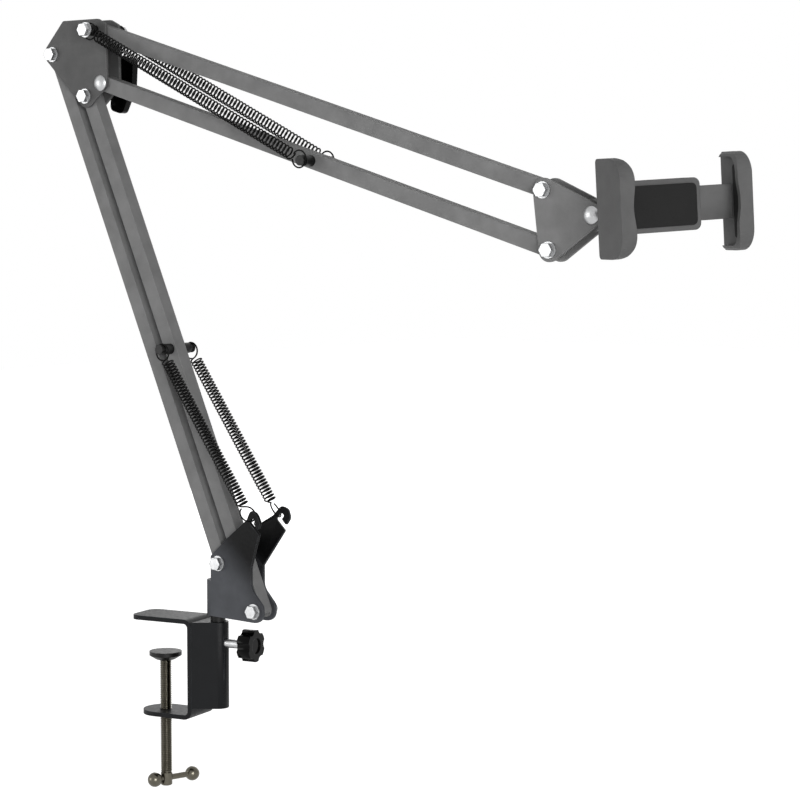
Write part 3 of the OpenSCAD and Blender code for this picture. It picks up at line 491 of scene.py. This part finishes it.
def threaded_bar(z0, z1, sides, run_out=1.3):
    """A helical thread: every row is a turn of z = z0 + pitch * (row / rows in a turn + angle / full turn),
    and the radius depends on the row alone, through crest, flank, root and flank. At both ends it is cut
    off by a cone that starts run_out depths below the crest."""
    crest, root = SCREW_R, SCREW_R - THREAD_DEPTH
    flank = SCREW_R - THREAD_DEPTH * 0.5
    profile = np.array([crest, crest, flank, root, root, flank])
    per_turn = len(profile)
    rows = int((z1 - z0) / THREAD_PITCH * per_turn) + per_turn
    i = np.arange(-per_turn, rows)[:, None]
    a = round_angles(sides)[None, :]
    z = z0 + THREAD_PITCH * (i / per_turn + a / (2 * np.pi))
    radius = np.broadcast_to(profile[i % per_turn], z.shape)
    z = np.clip(z, z0, z1)
    radius = np.minimum(radius, np.minimum(z - z0, z1 - z) + SCREW_R - THREAD_DEPTH * run_out)
    return np.stack([SCREW_X + radius * np.cos(a), radius * np.sin(a), z], -1)


def threaded_spindle(sides=32, crease=32):
    """The clamp's screw: a plain foot with a chamfer, a helical thread and a reduced nose in the pad. Foot
    and nose are turned from pairs of height and radius."""
    foot = (0.0, 3.3), (0.6, 3.95), (8.7, 3.95), (9.0, 3.2)
    nose = (-SCREW_NOSE, 3.0), (-0.4, 3.0), (0.0, 2.6)
    thread = threaded_bar(SCREW_END + foot[-1][0], SCREW_TIP - SCREW_NOSE, sides)
    bar = np.concatenate([turned(foot, SCREW_END, sides), thread, turned(nose, SCREW_TIP, sides)])
    piece = ringed_piece("threaded_spindle", in_clamp(bar), dark_nickel)
    piece.data.set_sharp_from_angle(angle=math.radians(crease))
    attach(piece, "screw")
    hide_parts("clamp_screw")


threaded_spindle()


# Cover screws

def in_clip(points):
    """From the clip's frame to the frame of the solids, in metres: a roll about X, then a yaw about Z."""
    r, w = math.radians(CLIP_ROLL), math.radians(CLIP_YAW)
    roll = np.array([[1, 0, 0], [0, math.cos(r), -math.sin(r)], [0, math.sin(r), math.cos(r)]])
    yaw = np.array([[math.cos(w), -math.sin(w), 0], [math.sin(w), math.cos(w), 0], [0, 0, 1.0]])
    return (points @ (yaw @ roll).T + BALL) * MM


def fall(value, at, softness):
    """Soft step from 1 to 0 where the value passes at: 1 / (1 + exp((value - at) / softness))."""
    return 1 / (1 + np.exp((value - at) / softness))


def cross_recessed_head(sides=64, rings=22, pole=0.01, rim=0.12):
    """Height of a screw's head over its seat, and the place (y, z) of each point, from r and a: a low dome
    that drops by a share of (r / R) squared, less a cross whose arms are cut by a soft step of the distance
    from the nearer axis. The last two rings are the rim, which goes straight down to the seat."""
    rise, drop, rim_drop = 0.6, 0.22, 0.34
    arm_half, arm_reach, depth = 0.28, 1.25, 0.5
    dome = np.linspace(pole, COVER_HEAD_R - rim, rings)
    r = np.concatenate([dome, [COVER_HEAD_R, COVER_HEAD_R]])[:, None]
    a = round_angles(sides)[None, :]
    y, z = r * np.cos(a), r * np.sin(a)
    nearer = np.minimum(np.abs(y), np.abs(z))
    cross = fall(nearer, arm_half, 0.035) * fall(r, arm_reach, 0.06)
    height = rise - drop * (r / COVER_HEAD_R) ** 2 - depth * cross
    height[-2], height[-1] = rise - rim_drop, 0.0
    return height, y, z


def cover_screws(crease=40):
    """The four screws in the clip's back, as one piece."""
    height, y, z = cross_recessed_head()
    heads = []
    for at_y in COVER_SCREW_Y:
        for at_z in COVER_SCREW_Z:
            spot = in_clip(np.stack([CLIP_BACK - height, at_y + y, at_z - z], -1))
            heads.append(ringed_piece("head", spot, spring_black))
    piece = heads[0]
    with bpy.context.temp_override(object=piece, active_object=piece, selected_editable_objects=heads):
        bpy.ops.object.join()
    piece.name = "cross_recessed_screws"
    piece.data.set_sharp_from_angle(angle=math.radians(crease))
    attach(piece, "clip")
    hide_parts("cover_screws")


cover_screws()


# Light, floor and camera

def lamp(name, place, aim, size, power):
    """Square soft lamp at a place, turned towards a point, in metres and watts."""
    light = bpy.data.lights.new(name, "AREA")
    light.shape = "SQUARE"
    light.size = size
    light.energy = power
    ob = bpy.data.objects.new(name, light)
    bpy.context.collection.objects.link(ob)
    ob.location = place
    x, y, z = np.array(aim, float) - np.array(place, float)
    ob.rotation_euler = (math.atan2(math.hypot(x, y), -z), 0, math.atan2(y, x) - math.pi / 2)


def bright_to_eye(tree, strength, seen, otherwise):
    """Gives a strength one value for camera, glossy and transmission rays and another for the rest."""
    rays = tree.nodes.new("ShaderNodeLightPath")
    either, any_of_three = (tree.nodes.new("ShaderNodeMath") for _ in range(2))
    either.operation = any_of_three.operation = "ADD"
    any_of_three.use_clamp = True
    tree.links.new(rays.outputs["Is Camera Ray"], either.inputs[0])
    tree.links.new(rays.outputs["Is Glossy Ray"], either.inputs[1])
    tree.links.new(either.outputs[0], any_of_three.inputs[0])
    tree.links.new(rays.outputs["Is Transmission Ray"], any_of_three.inputs[1])
    scale = tree.nodes.new("ShaderNodeMapRange")
    scale.inputs["To Min"].default_value = otherwise
    scale.inputs["To Max"].default_value = seen
    tree.links.new(any_of_three.outputs[0], scale.inputs["Value"])
    tree.links.new(scale.outputs["Result"], strength)


def white_room():
    """White surroundings that look brighter than they light the stand."""
    world = bpy.data.worlds.new("white_room")
    bpy.context.scene.world = world
    world.use_nodes = True
    back = world.node_tree.nodes["Background"]
    back.inputs["Color"].default_value = (1, 1, 1, 1)
    bright_to_eye(world.node_tree, back.inputs["Strength"], seen=1.0, otherwise=0.26)


def pale_floor(near=-4, far=6, below=60 * MM):
    """Square floor from near to far, in metres, a little below the clamp's screw. It looks almost white and
    keeps the stand's shadow."""
    x, y = np.meshgrid([near, far], [near, far], indexing="ij")
    corners = np.stack([x, y, 0 * x + SCREW_END * MM - below], -1).reshape(-1, 3)
    mesh = bpy.data.meshes.new("pale_floor")
    mesh.from_pydata(corners.tolist(), [], [(0, 2, 3, 1)])
    mat = bpy.data.materials.new("pale_floor")
    mat.use_nodes = True
    skin = mat.node_tree.nodes["Principled BSDF"]
    skin.inputs["Base Color"].default_value = (0.85, 0.85, 0.85, 1)
    skin.inputs["Roughness"].default_value = 0.9
    skin.inputs["Emission Color"].default_value = (1, 1, 1, 1)
    bright_to_eye(mat.node_tree, skin.inputs["Emission Strength"], seen=0.75, otherwise=0.0)
    mesh.materials.append(mat)
    floor = bpy.data.objects.new("pale_floor", mesh)
    bpy.context.collection.objects.link(floor)


# The photograph's view, fitted to the arm's nine pivots
PICTURE = 800                        # pixels on each side
FOCAL = 2306.446                     # in pixels
VIEW_ROUND, VIEW_DOWN = 36.197, 4.441
R2_PIXEL, R2_AWAY = (251.919, 612.256), 1517.452      # where R2's bolt falls, and how far along the view
R2_BOLT_Y = -9.5                     # a plane within the bolt's head
SENSOR = 36.0                        # the sensor's width


def camera(clip_end=50):
    """Pinhole at the photograph's angle, turned round from the front and looking down. It stands where
    R2's bolt falls on its pixel: the bolt less its distance times (across, up, 1) in the view's axes."""
    a, e = math.radians(VIEW_ROUND), math.radians(VIEW_DOWN)
    right = np.array([math.cos(a), math.sin(a), 0])
    ahead = np.array([-math.sin(a) * math.cos(e), math.cos(a) * math.cos(e), -math.sin(e)])
    up = np.cross(right, ahead)
    across, above = (R2_PIXEL[0] - PICTURE / 2) / FOCAL, (PICTURE / 2 - R2_PIXEL[1]) / FOCAL
    place = in_plane(R2, R2_BOLT_Y) - R2_AWAY * (across * right + above * up + ahead)
    lens = bpy.data.cameras.new("eye")
    lens.sensor_width = SENSOR
    lens.lens = FOCAL / PICTURE * SENSOR
    lens.clip_end = clip_end
    ob = bpy.data.objects.new("eye", lens)
    bpy.context.collection.objects.link(ob)
    ob.location = place * MM
    ob.rotation_euler = (math.pi / 2 - e, 0, a)
    bpy.context.scene.camera = ob


STAND_MIDDLE = (0.1, 0, 0.2)
white_room()
lamp("key", (2.1, -1.6, 0.45), STAND_MIDDLE, size=1.2, power=40)
lamp("fill", (-1.5, -2.0, 0.3), STAND_MIDDLE, size=1.4, power=21)
lamp("back", (-0.8, 2.0, 0.3), STAND_MIDDLE, size=1.5, power=12)
pale_floor()
camera()
bpy.context.scene.view_settings.view_transform = "Standard"
